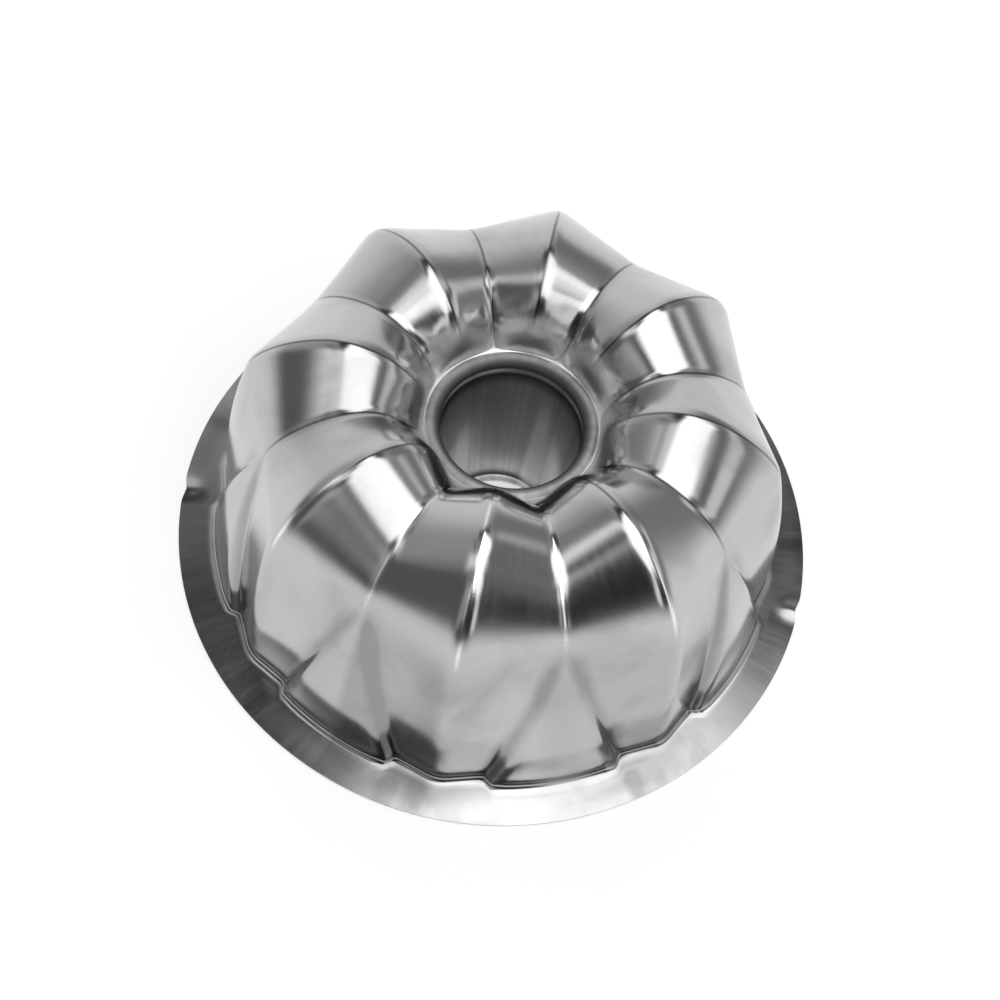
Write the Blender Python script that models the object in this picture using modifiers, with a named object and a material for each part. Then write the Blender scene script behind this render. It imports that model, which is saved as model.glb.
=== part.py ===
"""Fluted ring cake pan, shown turned over with its crown up and its flange on the table.

Two pieces make it: a pressed sheet shell with eight flutes, and a tapered centre tube whose
flared lip nests over the shell's curled collar and whose swaged bead locks it from below.
Lengths are in metres. +Z is the pan's axis and points out of the crown. The origin is the
centre of the flange's underside.
"""

import math
from functools import partial

import bmesh
import bpy

# Sheet and fits
SHEET = 0.0009
SEAM_CLEARANCE = 0.0003

# Flutes: a ridge lies on +X, and the grooves lie half-way between the ridges
FLUTES = 8

# Crown, heights measured on the outer skin
RIDGE_CREST_RADIUS = 0.0548
RIDGE_CREST_HEIGHT = 0.0921
GROOVE_CREST_RADIUS = 0.0515
GROOVE_CREST_HEIGHT = 0.0830
CREST_SQUARENESS = 1.93

# Inner ends of the flutes: each ridge ends in a blunt toe on the collar, with a valley beside it
TOE_RADIUS = 0.0284
TOE_FULLNESS = 1.6
TOE_BLEND = 2.0
VALLEY_RADIUS = 0.0290
VALLEY_RISE = 0.0006
VALLEY_SLOPE = math.radians(24)
VALLEY_EASE = 0.0090
GROOVE_INNER_EASE = 0.0103

# Shoulder, where the crown turns into the drafted wall
SHOULDER_HEIGHT = 0.0672
RIDGE_SHOULDER_RADIUS = 0.0885
GROOVE_SHOULDER_RADIUS = 0.0788
RIDGE_CREST_EASE = 0.0123
GROOVE_CREST_EASE = 0.0127
RIDGE_SHOULDER_EASE = 0.0117
GROOVE_SHOULDER_EASE = 0.0076

# Wall, with its swell out of a straight draft at half height
WALL_SWELL = 0.0024
RIDGE_FOOT_RADIUS = 0.0991
GROOVE_FOOT_RADIUS = 0.0955
FOOT_FILLET = 0.0026

# Gusset panels: each groove is filled low down by a raised triangle with its tip at the shoulder
PANEL_FOOT_RADIUS = 0.0991
PANEL_HALF_WIDTH = 0.0213
PANEL_SWELL = 0.0039
PANEL_SIDE_SLOPE = 1.0

# Creases, with the groove's rounding wider at the collar, and limits as shares of the flute's face
RIDGE_ROUNDING = 0.0036
GROOVE_ROUNDING = 0.0026
GROOVE_END_ROUNDING = 0.0060
ROUNDING_LIMIT = 0.4
CREASE_COLUMN_LIMIT = 0.3

# Flange
RIM_RADIUS = 0.1120

# Collar, whose inner edge curls down under the tube's flared lip
COLLAR_HEIGHT = 0.0658
COLLAR_CURL = math.radians(75)

# Centre tube, radii measured at the middle of its wall
FLARE_RADIUS = 0.0266
FLARE_BEND = 0.0029
LIP_BRIM = 0.0005
TUBE_FOOT_RADIUS = 0.0195
TUBE_FOOT_HEIGHT = 0.0016
FOOT_BEND = 0.0015
HOLE_RADIUS = 0.0166
BEAD_RISE = 0.0011
BEAD_LENGTH = 0.0030

# Mesh fineness
CURL_ROWS = 3
INNER_ROWS = 7
CROWN_ROWS = 9
WALL_ROWS = 7
FILLET_ROWS = 3
FACE_COLUMNS = 2
TUBE_STEPS = 48
FLARE_STEPS = 8
BEAD_STEPS = 4
BEND_STEPS = 3
SEAM_SEARCH_STEPS = 30
AXIS_MERGE = 0.00001

# Finish
SHARP_EDGE = math.radians(30)
SHELL_ROUGHNESS = 0.18
TUBE_ROUGHNESS = 0.26
ALUMINIUM = (0.80, 0.80, 0.81, 1.0)
TUBE_ALUMINIUM = (0.74, 0.74, 0.76, 1.0)

HALF_FLUTE = math.pi / FLUTES


def mix(start, end, share):
    return start + (end - start) * share


def bezier(handles, share):
    """Point on a cubic curve through its first and last handle."""
    rest = 1 - share
    weights = (rest ** 3, 3 * rest ** 2 * share, 3 * rest * share ** 2, share ** 3)
    radius = sum(weight * point[0] for weight, point in zip(weights, handles))
    height = sum(weight * point[1] for weight, point in zip(weights, handles))
    return radius, height


def ridge_inner_turn(share):
    """Ridge profile from its toe, which rises upright off the collar, to the level crest."""
    turn = share * math.pi / 2
    power = 2 / CREST_SQUARENESS
    radius = mix(RIDGE_CREST_RADIUS, TOE_RADIUS, max(math.cos(turn), 0.0) ** power)
    height = mix(COLLAR_HEIGHT, RIDGE_CREST_HEIGHT, math.sin(turn) ** power)
    return radius, height


def groove_inner_turn(share):
    """Groove profile from the valley beside the collar, up its slope, to the level crest."""
    start = (VALLEY_RADIUS, COLLAR_HEIGHT + VALLEY_RISE)
    handles = (
        start,
        (start[0] + VALLEY_EASE * math.cos(VALLEY_SLOPE), start[1] + VALLEY_EASE * math.sin(VALLEY_SLOPE)),
        (GROOVE_CREST_RADIUS - GROOVE_INNER_EASE, GROOVE_CREST_HEIGHT),
        (GROOVE_CREST_RADIUS, GROOVE_CREST_HEIGHT),
    )
    return bezier(handles, share)


def outer_turn(crest, shoulder, foot_radius, swell, crest_ease, shoulder_ease, share):
    """Crown profile from the level crest to the shoulder, where it takes the wall's slope."""
    fall = shoulder[1]
    spread = foot_radius - shoulder[0] + 4 * swell
    slant = math.hypot(fall, spread)
    handles = (
        crest,
        (crest[0] + crest_ease, crest[1]),
        (shoulder[0] - shoulder_ease * spread / slant, shoulder[1] + shoulder_ease * fall / slant),
        shoulder,
    )
    return bezier(handles, share)


def wall_radius(shoulder_radius, foot_radius, swell, height):
    """Radius of a drafted wall that swells in a parabola between the shoulder and the foot."""
    share = height / SHOULDER_HEIGHT
    return mix(foot_radius, shoulder_radius, share) + 4 * swell * share * (1 - share)


def crown_rows():
    """Ridge point, groove point, (radius, height), and roundness, from the toes to the shoulder."""
    rows = []
    ridge_crest = (RIDGE_CREST_RADIUS, RIDGE_CREST_HEIGHT)
    groove_crest = (GROOVE_CREST_RADIUS, GROOVE_CREST_HEIGHT)
    ridge_shoulder = (RIDGE_SHOULDER_RADIUS, SHOULDER_HEIGHT)
    groove_shoulder = (GROOVE_SHOULDER_RADIUS, SHOULDER_HEIGHT)
    for step in range(INNER_ROWS):
        share = step / INNER_ROWS
        rows.append((ridge_inner_turn(share), groove_inner_turn(share), (1 - share) ** TOE_BLEND))
    for step in range(CROWN_ROWS):
        share = step / CROWN_ROWS
        ridge = outer_turn(ridge_crest, ridge_shoulder, RIDGE_FOOT_RADIUS, WALL_SWELL,
                           RIDGE_CREST_EASE, RIDGE_SHOULDER_EASE, share)
        groove = outer_turn(groove_crest, groove_shoulder, PANEL_FOOT_RADIUS, PANEL_SWELL,
                            GROOVE_CREST_EASE, GROOVE_SHOULDER_EASE, share)
        rows.append((ridge, groove, 0.0))
    return rows


def wall_rows():
    """Pairs of ridge point and groove point, each pair level, from the shoulder down to the fillet."""
    rows = []
    fillet_top = SHEET + FOOT_FILLET
    for step in range(WALL_ROWS + 1):
        height = mix(SHOULDER_HEIGHT, fillet_top, step / WALL_ROWS)
        ridge = wall_radius(RIDGE_SHOULDER_RADIUS, RIDGE_FOOT_RADIUS, WALL_SWELL, height)
        groove = wall_radius(GROOVE_SHOULDER_RADIUS, GROOVE_FOOT_RADIUS, WALL_SWELL, height)
        rows.append(((ridge, height), (groove, height)))
    return rows


def rounded(share, reach):
    """Distance from a crease as a share of the face, with the crease rounded over reach."""
    if share >= reach:
        return share
    return share * share / (2 * reach) + reach / 2


def groove_rounding(roundness):
    return mix(GROOVE_ROUNDING, GROOVE_END_ROUNDING, roundness)


def flute_point(ridge, groove, angle, roundness=0.0):
    """Radius and height of the fluted skin at an angle from the ridge.

    The faces between the creases are flat where roundness is 0. Where it is 1, the ridge is a
    blunt toe whose outline turns outwards to the groove.
    """
    ridge_radius, ridge_height = ridge
    groove_radius, groove_height = groove
    near = ridge_radius * math.sin(angle)
    far = groove_radius * math.sin(HALF_FLUTE - angle)
    share = near / (near + far)
    along = mix(ridge_radius, groove_radius * math.cos(HALF_FLUTE), share)
    across = share * groove_radius * math.sin(HALF_FLUTE)
    radius = along * math.cos(angle) + across * math.sin(angle)
    outline = (angle / HALF_FLUTE) ** TOE_FULLNESS
    radius = mix(radius, mix(ridge_radius, groove_radius, outline), roundness)
    height = mix(ridge_height, groove_height, mix(share, outline, roundness))
    width = math.hypot(ridge_radius - groove_radius * math.cos(HALF_FLUTE),
                       groove_radius * math.sin(HALF_FLUTE), ridge_height - groove_height)
    ridge_push = rounded(share, min(RIDGE_ROUNDING / width, ROUNDING_LIMIT)) - share
    groove_reach = min(groove_rounding(roundness) / width, ROUNDING_LIMIT)
    groove_push = rounded(1 - share, groove_reach) - (1 - share)
    flatness = 1 - roundness
    radius += flatness * ridge_push * (groove_radius * math.cos(HALF_FLUTE) - ridge_radius)
    radius += flatness * groove_push * (ridge_radius * math.cos(HALF_FLUTE) - groove_radius)
    height += flatness * (ridge_push - groove_push) * (groove_height - ridge_height)
    return radius, height


def panel_half_angle(height):
    """Half the angle that a gusset panel takes at a height, none at its tip."""
    foot_half_angle = math.asin(PANEL_HALF_WIDTH / PANEL_FOOT_RADIUS)
    return foot_half_angle * max(0.0, 1 - height / SHOULDER_HEIGHT)


def panel_radius(height, from_groove):
    """Radius of a gusset panel, which is round across and falls away beyond its two sides."""
    radius = wall_radius(GROOVE_SHOULDER_RADIUS, PANEL_FOOT_RADIUS, PANEL_SWELL, height)
    beyond = max(0.0, from_groove - panel_half_angle(height))
    return radius * (1 - PANEL_SIDE_SLOPE * beyond)


def wall_point(ridge, groove, angle):
    """Radius and height of the wall: the flutes, with the gusset panels standing out of them."""
    radius, height = flute_point(ridge, groove, angle)
    return max(radius, panel_radius(height, HALF_FLUTE - angle)), height


def panel_seam_angle(ridge, groove, height):
    """Angle from the ridge at which a panel's sloping side meets the flute's face."""
    low = 0.0
    high = HALF_FLUTE - panel_half_angle(height)
    for _ in range(SEAM_SEARCH_STEPS):
        middle = (low + high) / 2
        if panel_radius(height, HALF_FLUTE - middle) > flute_point(ridge, groove, middle)[0]:
            high = middle
        else:
            low = middle
    return high


def crease_angles(ridge, groove, roundness=0.0):
    """Angles that the rounding takes beside the ridge and beside the groove."""
    limit = CREASE_COLUMN_LIMIT * HALF_FLUTE
    return (min(RIDGE_ROUNDING / ridge[0], limit),
            min(groove_rounding(roundness) / groove[0], limit))


def face_angles(start, end):
    return [mix(start, end, step / FACE_COLUMNS) for step in range(FACE_COLUMNS)]


def crown_angles(ridge, groove, roundness):
    """Angles from a ridge to the next groove at which a row of the crown has points."""
    crease, side = crease_angles(ridge, groove, roundness)
    seam = HALF_FLUTE - side
    return [0.0, *face_angles(crease, seam), seam, HALF_FLUTE - side / 2, HALF_FLUTE]


def wall_angles(ridge, groove):
    """The same for a row of the wall, with points on the panel's side and on its seam with the face."""
    crease, side = crease_angles(ridge, groove)
    edge = HALF_FLUTE - max(side / 2, panel_half_angle(groove[1]))
    seam = min(edge - side / 2, panel_seam_angle(ridge, groove, groove[1]))
    return [0.0, *face_angles(crease, seam), seam, edge, HALF_FLUTE]


def ring_of_points(half, point):
    """One row right round the pan, as (angle, radius, height), from its half flute."""
    ring = []
    for flute in range(FLUTES):
        centre = flute * 2 * HALF_FLUTE
        for angle in half[:-1]:
            ring.append((centre + angle, *point(angle)))
        for angle in reversed(half[1:]):
            ring.append((centre + 2 * HALF_FLUTE - angle, *point(angle)))
    return ring


def shell_rings():
    """Every row of the shell's outer skin, from the collar's curled edge to the flange's rim."""
    rings = []
    for ridge, groove, roundness in crown_rows():
        skin = partial(flute_point, ridge, groove, roundness=roundness)
        rings.append(ring_of_points(crown_angles(ridge, groove, roundness), skin))
    for ridge, groove in wall_rows():
        rings.append(ring_of_points(wall_angles(ridge, groove), partial(wall_point, ridge, groove)))
    return [*collar_rings(rings[0]), *rings, *foot_rings(rings[-1])]


def foot_rings(last_ring):
    """Rows that turn each column of the wall's last row out through the fillet to the flange's rim."""
    draft = math.atan2(RIDGE_FOOT_RADIUS - RIDGE_SHOULDER_RADIUS - 4 * WALL_SWELL, SHOULDER_HEIGHT)
    rings = []
    for step in range(1, FILLET_ROWS + 1):
        turn = mix(draft, math.pi / 2, step / FILLET_ROWS)
        out = FOOT_FILLET * (math.cos(draft) - math.cos(turn))
        height = SHEET + FOOT_FILLET * (1 - math.sin(turn))
        rings.append([(angle, radius + out, height) for angle, radius, _ in last_ring])
    rings.append([(angle, RIM_RADIUS, SHEET) for angle, _, _ in last_ring])
    return rings


def collar_rings(first_ring):
    """The collar's rows, from its curled inner edge, which clears the tube's flare, to its flat top."""
    curl = FLARE_BEND - SHEET / 2 - SEAM_CLEARANCE
    rings = []
    for step in range(CURL_ROWS + 1):
        lean = mix(COLLAR_CURL, 0.0, step / CURL_ROWS)
        radius = FLARE_RADIUS - curl * math.sin(lean)
        height = flare_height() + curl * math.cos(lean)
        rings.append([(angle, radius, height) for angle, _, _ in first_ring])
    return rings


def flare_height():
    """Height of the centre of the lip's flare, with the brim just clear of the collar."""
    return COLLAR_HEIGHT + SEAM_CLEARANCE + SHEET / 2 - FLARE_BEND


def tube_radius(height):
    """Radius of the middle of the tube's tapered wall."""
    share = (height - TUBE_FOOT_HEIGHT) / (flare_height() - TUBE_FOOT_HEIGHT)
    return mix(TUBE_FOOT_RADIUS, FLARE_RADIUS - FLARE_BEND, share)


def lofted(name, rings):
    """Open surface through rings of equal length, each a list of (angle, radius, height)."""
    body = bmesh.new()
    rows = []
    for ring in rings:
        rows.append([body.verts.new((radius * math.cos(angle), radius * math.sin(angle), height))
                     for angle, radius, height in ring])
    for upper, lower in zip(rows, rows[1:]):
        for here in range(len(upper)):
            after = (here + 1) % len(upper)
            body.faces.new((upper[here], lower[here], lower[after], upper[after]))
    body.normal_update()
    mesh = bpy.data.meshes.new(name)
    body.to_mesh(mesh)
    body.free()
    return mesh


def add_object(name, mesh, material, collection):
    piece = bpy.data.objects.new(name, mesh)
    collection.objects.link(piece)
    mesh.materials.append(material)
    mesh.shade_smooth()
    return piece


def metal(name, colour, roughness):
    material = bpy.data.materials.new(name)
    material.use_nodes = True
    shader = material.node_tree.nodes["Principled BSDF"]
    shader.inputs["Base Color"].default_value = colour
    shader.inputs["Metallic"].default_value = 1.0
    shader.inputs["Roughness"].default_value = roughness
    return material


def build_shell(collection, material):
    """Pressed shell: curled collar, fluted crown, drafted wall with gusset panels, and flange."""
    shell = add_object("fluted_shell", lofted("fluted_shell", shell_rings()), material, collection)
    sheet = shell.modifiers.new("Sheet", "SOLIDIFY")
    sheet.thickness = SHEET
    sheet.offset = -1.0
    sheet.use_even_offset = True
    shell.data.set_sharp_from_angle(angle=SHARP_EDGE)
    return shell


def tube_path():
    """Middle line of the tube's wall from the lip's brim, down its flare and on to the hole."""
    centre = flare_height()
    path = [(FLARE_RADIUS + LIP_BRIM, centre + FLARE_BEND)]
    for step in range(FLARE_STEPS + 1):
        turn = math.pi / 2 * step / FLARE_STEPS
        path.append((FLARE_RADIUS - FLARE_BEND * math.sin(turn), centre + FLARE_BEND * math.cos(turn)))
    collar_skin = FLARE_BEND - 3 * SHEET / 2 - SEAM_CLEARANCE
    bead_top = centre + collar_skin * math.cos(COLLAR_CURL) - SEAM_CLEARANCE
    for step in range(BEAD_STEPS + 1):
        height = bead_top - BEAD_LENGTH * step / BEAD_STEPS
        swell = BEAD_RISE * math.sin(math.pi * step / BEAD_STEPS) ** 2
        path.append((tube_radius(height) + swell, height))
    bend_height = TUBE_FOOT_HEIGHT + FOOT_BEND
    bend_radius = TUBE_FOOT_RADIUS - FOOT_BEND
    for step in range(BEND_STEPS + 1):
        turn = math.pi / 2 * step / BEND_STEPS
        path.append((bend_radius + FOOT_BEND * math.cos(turn), bend_height - FOOT_BEND * math.sin(turn)))
    path.append((HOLE_RADIUS, TUBE_FOOT_HEIGHT))
    return path


def offset_path(path, distance):
    """The path moved sideways, to its left for a positive distance."""
    moved = []
    for here, (radius, height) in enumerate(path):
        before = path[max(here - 1, 0)]
        after = path[min(here + 1, len(path) - 1)]
        run = after[0] - before[0]
        rise = after[1] - before[1]
        length = math.hypot(run, rise)
        moved.append((radius - rise / length * distance, height + run / length * distance))
    return moved


def build_tube(collection, material):
    """Centre tube, turned from its sheet section."""
    path = tube_path()
    bore_skin = offset_path(path, -SHEET / 2)
    hidden_skin = offset_path(path, SHEET / 2)
    section = [*hidden_skin, *reversed(bore_skin)]
    mesh = bpy.data.meshes.new("centre_tube")
    edges = [(here, (here + 1) % len(section)) for here in range(len(section))]
    mesh.from_pydata([(radius, 0.0, height) for radius, height in section], edges, [])
    tube = add_object("centre_tube", mesh, material, collection)
    turn = tube.modifiers.new("Turn", "SCREW")
    turn.axis = "Z"
    turn.steps = TUBE_STEPS
    turn.render_steps = TUBE_STEPS
    turn.use_merge_vertices = True
    turn.merge_threshold = AXIS_MERGE
    turn.use_smooth_shade = True
    return tube


def main():
    for leftover in list(bpy.data.objects):
        bpy.data.objects.remove(leftover, do_unlink=True)
    collection = bpy.data.collections.new("fluted_ring_pan")
    bpy.context.scene.collection.children.link(collection)
    build_shell(collection, metal("shell_aluminium", ALUMINIUM, SHELL_ROUGHNESS))
    build_tube(collection, metal("tube_aluminium", TUBE_ALUMINIUM, TUBE_ROUGHNESS))


main()
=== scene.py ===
"""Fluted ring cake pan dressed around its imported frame, laid out as an add-on and run as a script.

The pan stands turned over: crown up, flange on the floor. Lengths are in metres, +Z is the pan's
axis, and the ridges of its eight flutes lie on +X and every 45 degrees from it.
"""

import math

import bpy
from bpy.props import FloatProperty, FloatVectorProperty, IntProperty, PointerProperty
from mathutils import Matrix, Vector, noise


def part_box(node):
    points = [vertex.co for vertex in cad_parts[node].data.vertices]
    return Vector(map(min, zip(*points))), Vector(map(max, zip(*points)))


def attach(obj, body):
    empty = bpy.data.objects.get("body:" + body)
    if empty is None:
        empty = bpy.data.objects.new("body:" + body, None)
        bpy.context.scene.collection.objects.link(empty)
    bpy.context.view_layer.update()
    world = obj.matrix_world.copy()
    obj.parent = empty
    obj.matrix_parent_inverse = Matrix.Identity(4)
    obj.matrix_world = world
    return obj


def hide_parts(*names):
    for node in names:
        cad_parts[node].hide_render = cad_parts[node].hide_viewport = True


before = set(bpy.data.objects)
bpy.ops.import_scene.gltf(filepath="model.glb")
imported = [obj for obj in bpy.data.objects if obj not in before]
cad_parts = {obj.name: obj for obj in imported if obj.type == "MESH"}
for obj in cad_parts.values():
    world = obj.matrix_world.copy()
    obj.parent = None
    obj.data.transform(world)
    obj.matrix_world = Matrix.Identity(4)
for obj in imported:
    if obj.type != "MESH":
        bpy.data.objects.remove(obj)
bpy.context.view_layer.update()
SHELL_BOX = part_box("fluted_shell")

bl_info = {
    "name": "Fluted cake pan",
    "version": (1, 0, 0),
    "blender": (4, 5, 0),
    "location": "3D View > Sidebar > Cake Pan",
    "description": "Models a pressed fluted cake pan, its finishes and its studio",
    "category": "Object",
}

BODY = "root"


def length(name, description, default):
    """A size in metres that a user would change."""
    return FloatProperty(name=name, description=description, default=default, min=0.0,
                         precision=6, unit="LENGTH", subtype="DISTANCE")


def number(name, description, default, low=0.0, high=10.0):
    return FloatProperty(name=name, description=description, default=default, min=low, max=high)


def count(name, description, default):
    return IntProperty(name=name, description=description, default=default, min=1, max=400)


def angle(name, description, default):
    return FloatProperty(name=name, description=description, default=math.radians(default),
                         subtype="ANGLE", unit="ROTATION")


def colour(name, description, default):
    return FloatVectorProperty(name=name, description=description, default=default, size=3,
                               min=0.0, max=1.0, subtype="COLOR")


class ShellSizes(bpy.types.PropertyGroup):
    """Sizes of the pressed shell, all measured on its outer skin."""
    sheet: length("Sheet", "Thickness of the shell's sheet", 0.0009)
    rim_radius: length("Rim radius", "Radius of the flange's raw edge", SHELL_BOX[1].x)
    ridge_crest_radius: length("Ridge crest radius", "Radius at a ridge's highest point", 0.0548)
    ridge_crest_height: length("Ridge crest height", "Height of a ridge's highest point", 0.0921)
    groove_crest_radius: length("Groove crest radius", "Radius at a groove's highest point", 0.0515)
    groove_crest_height: length("Groove crest height", "Height of a groove's highest point", 0.0830)
    shoulder_height: length("Shoulder height", "Height at which crown turns into wall", 0.0672)
    ridge_shoulder_radius: length("Ridge shoulder radius", "Ridge radius at the shoulder", 0.0885)
    groove_shoulder_radius: length("Groove shoulder radius", "Groove radius at the shoulder", 0.0788)
    ridge_crest_ease: length("Ridge crest ease", "How far a ridge runs level out of its crest", 0.0123)
    groove_crest_ease: length("Groove crest ease", "How far a groove runs level out of its crest", 0.0127)
    ridge_shoulder_ease: length("Ridge shoulder ease", "How far a ridge keeps the wall's slope", 0.0117)
    groove_shoulder_ease: length("Groove shoulder ease", "How far a groove keeps the wall's slope", 0.0076)
    wall_swell: length("Wall swell", "Swell of the wall out of a straight draft", 0.0024)
    ridge_foot_radius: length("Ridge foot radius", "Ridge radius at the wall's foot", 0.0991)
    groove_foot_radius: length("Groove foot radius", "Groove radius at the wall's foot", 0.0955)
    foot_fillet: length("Foot fillet", "Radius of the fillet between wall and flange", 0.0026)
    panel_foot_radius: length("Panel foot radius", "Radius of a gusset panel at its foot", 0.0991)
    panel_half_width: length("Panel half width", "Half of a gusset panel's width at its foot", 0.0213)
    panel_swell: length("Panel swell", "Swell of a gusset panel out of a straight draft", 0.0039)
    ridge_rounding: length("Ridge rounding", "Rounding beside a ridge's crease", 0.0036)
    groove_rounding: length("Groove rounding", "Rounding beside a groove's crease", 0.0026)
    groove_end_rounding: length("Groove end rounding", "Rounding of a groove at the collar", 0.0060)
    toe_radius: length("Toe radius", "Radius at which a ridge's blunt toe ends on the collar", 0.0284)
    valley_radius: length("Valley radius", "Radius at which a groove runs out on the collar", 0.0290)
    valley_rise: length("Valley rise", "Height of a groove's end over the collar", 0.0006)
    valley_slope: angle("Valley slope", "Slope with which a groove leaves the collar", 40)
    valley_ease: length("Valley ease", "How far a groove keeps that slope", 0.0100)
    groove_inner_ease: length("Groove inner ease", "How far a groove runs level into its crest", 0.0118)
    collar_height: length("Collar height", "Height of the collar's upper face", 0.0658)
    collar_curl: angle("Collar curl", "Turn of the collar's edge under the tube's flare", 75)
    seam_clearance: length("Seam clearance", "Gap in the lap between shell and tube", 0.0003)
    wrinkle: length("Wrinkle", "Height of the wrinkles that pressing left round the mouth", 0.0003)
    flange_warp: length("Flange warp", "How far the flange lifts off the table in places", 0.0006)
    dent_depth: length("Dent depth", "Depth of the dents in the flange's edge", 0.0011)
    inner_rows: count("Inner rows", "Rows of faces between collar and crest", 34)
    crown_rows: count("Crown rows", "Rows of faces between crest and shoulder", 36)
    wall_rows: count("Wall rows", "Rows of faces on the wall", 30)


class TubeSizes(bpy.types.PropertyGroup):
    """Sizes of the centre tube, radii measured at the middle of its wall."""
    sheet: length("Sheet", "Thickness of the tube's sheet", 0.0009)
    flare_radius: length("Flare radius", "Radius at which the lip's flare starts to bend", 0.0266)
    flare_bend: length("Flare bend", "Radius of the flare's bend", 0.0029)
    lip_reach: length("Lip reach", "How far the lip thins out over the collar", 0.0014)
    lip_edge: length("Lip edge", "Thickness left at the lip's edge", 0.0002)
    lip_clearance: length("Lip clearance", "Gap between the lip's edge and the collar", 0.00005)
    lip_wrinkle: length("Lip wrinkle", "Unevenness of the lip", 0.00012)
    foot_radius: length("Foot radius", "Radius of the tube at its lower end", 0.0195)
    foot_height: length("Foot height", "Height of the foot's turned-in edge", 0.0016)
    foot_bend: length("Foot bend", "Radius of the foot's bend", 0.0015)
    hole_radius: length("Hole radius", "Radius of the hole pierced in the foot", 0.0166)
    bead_rise: length("Bead rise", "How far the locking bead stands out", 0.0011)
    bead_length: length("Bead length", "Length of the locking bead", 0.0030)
    turn_steps: count("Turn steps", "Faces round the tube", 160)


class Finishes(bpy.types.PropertyGroup):
    """Colours and roughness of the two aluminium finishes."""
    shell_colour: colour("Shell colour", "Bright rolled aluminium", (0.52, 0.52, 0.522))
    # Also the colour of the painted shade on the wall and beside the gussets
    shell_dull_and_shade: colour("Shell dull colour", "The same where it is dulled", (0.30, 0.30, 0.302))
    shell_roughness: number("Shell roughness", "Roughness of the bright sheet", 0.15, 0.0, 1.0)
    shell_ripple: length("Shell ripple", "Depth of the ripples that pressing left", 0.000012)
    # Painted shade beside the gussets' sides
    gusset_shade: number("Residue", "Strength of the dull residue along the gussets", 0.65, 0.0, 1.0)
    # Painted shade: dark lines along the creases at the back
    crease_shade: number("Crease tarnish", "Strength of the dark lines along the creases", 0.75,
                           0.0, 1.0)
    # Painted shade colour of the crease lines
    crease_shade_colour: colour("Crease colour", "Tarnished metal in the creases", (0.06, 0.06, 0.062))
    # Painted highlight colour, round the mouth, along the creases at the front and in a streak inside the
    # tube
    painted_highlight: colour("Rubbed colour", "Metal rubbed bright round the mouth", (0.90, 0.90, 0.90))
    tube_colour: colour("Tube colour", "Drawn aluminium", (0.52, 0.52, 0.522))
    tube_dull: colour("Tube dull colour", "The same along its draw lines", (0.45, 0.45, 0.452))
    # Painted shade colour inside the flare
    flare_shade_colour: colour("Flare dull colour", "Dulled metal inside the flare", (0.13, 0.13, 0.132))
    tube_roughness: number("Tube roughness", "Roughness of the drawn tube", 0.32, 0.0, 1.0)
    tube_ripple: length("Tube ripple", "Depth of the streaks along the tube", 0.00002)


class Studio(bpy.types.PropertyGroup):
    """Floor, tent and camera, whose place, turn and lens were fitted to the photo's outlines."""
    floor_radius: length("Floor radius", "Radius of the pale floor", 3.0)
    floor_colour: colour("Floor colour", "Pale floor", (0.60, 0.60, 0.60))
    floor_lift: number("Floor lift", "Light that the floor adds for camera and metal", 0.565)
    tent_radius: length("Tent radius", "Radius of the light tent", 2.9)
    tent_level: number("Tent level", "Brightness of the tent's plain cloth", 0.44)
    tent_horizon: number("Tent horizon", "Brightness of the tent down at the floor", 0.95)
    camera_place: FloatVectorProperty(name="Camera place", description="Where the camera stands",
                                      default=(0.01254, -0.25965, 0.46684), subtype="TRANSLATION",
                                      unit="LENGTH")
    camera_turn: FloatVectorProperty(name="Camera turn", description="How the camera is turned",
                                     default=(math.radians(29.6207), math.radians(-4.8231),
                                              math.radians(11.1133)), subtype="EULER")
    camera_lens: number("Camera lens", "Focal length in millimetres", 53.412, 1.0, 300.0)


def mix(start, end, share):
    return start + (end - start) * share


def smooth_step(low, high, value):
    share = min(max((value - low) / (high - low), 0.0), 1.0)
    return share * share * (3 - 2 * share)


# The shell's skin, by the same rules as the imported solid

FLUTES = 8
HALF_FLUTE = math.pi / FLUTES
CREST_SQUARENESS = 1.93
TOE_FULLNESS = 1.6
TOE_BLEND = 2.0
ROUNDING_LIMIT = 0.4
PANEL_SIDE_SLOPE = 1.0
PANEL_EDGE_BLEND = 0.0006
FILLET_ROWS = 6
FLANGE_ROWS = 8
CURL_ROWS = 6
COLLAR_ROWS = 8
CREASE_COLUMNS = 5
FACE_COLUMNS = 6
SIDE_COLUMNS = 4
PANEL_COLUMNS = 5
COLUMNS = CREASE_COLUMNS + FACE_COLUMNS + SIDE_COLUMNS + PANEL_COLUMNS
SEAM_SEARCH_STEPS = 30
MERGE_DISTANCE = 0.000004
SMOOTH_ANGLE = math.radians(50)

# The painted shade beside the gussets: its width, and the heights over which it comes in
SIDE_MARK = "gusset_side"
GUSSET_SHADE_WIDTH = 0.0045
GUSSET_SHADE_HEIGHTS = (0.0672, 0.0560)

# Radii over which the wrinkles round the mouth come in and run out, their reach below the collar,
# and the fineness of the coarse and the fine ones
WRINKLE_START = (0.0283, 0.0300)
WRINKLE_END = (0.041, 0.033)
WRINKLE_REACH = 0.003
COARSE_WRINKLES = 210
FINE_WRINKLES = 470

# The uneven flange: the radii over which its warp comes in, its top and the warp's fineness
UNEVEN_RADII = (0.1035, 0.1120)
FLANGE_TOP = 0.0015
WARP_FINENESS = 21

# Dents in the flange's edge and how wide each is, in degrees round the pan
DENTS = (-173.0, -5.4)
DENT_WIDTH = 1.5

# Fineness of the tube's section
FLARE_STEPS = 14
BEAD_STEPS = 10
WALL_STEPS = 30
BEND_STEPS = 7
LIP_STEPS = 5

# Width over which the lip's unevenness comes in, and its fineness
LIP_BLEND = 0.0012
LIP_FINENESS = 260


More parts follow.
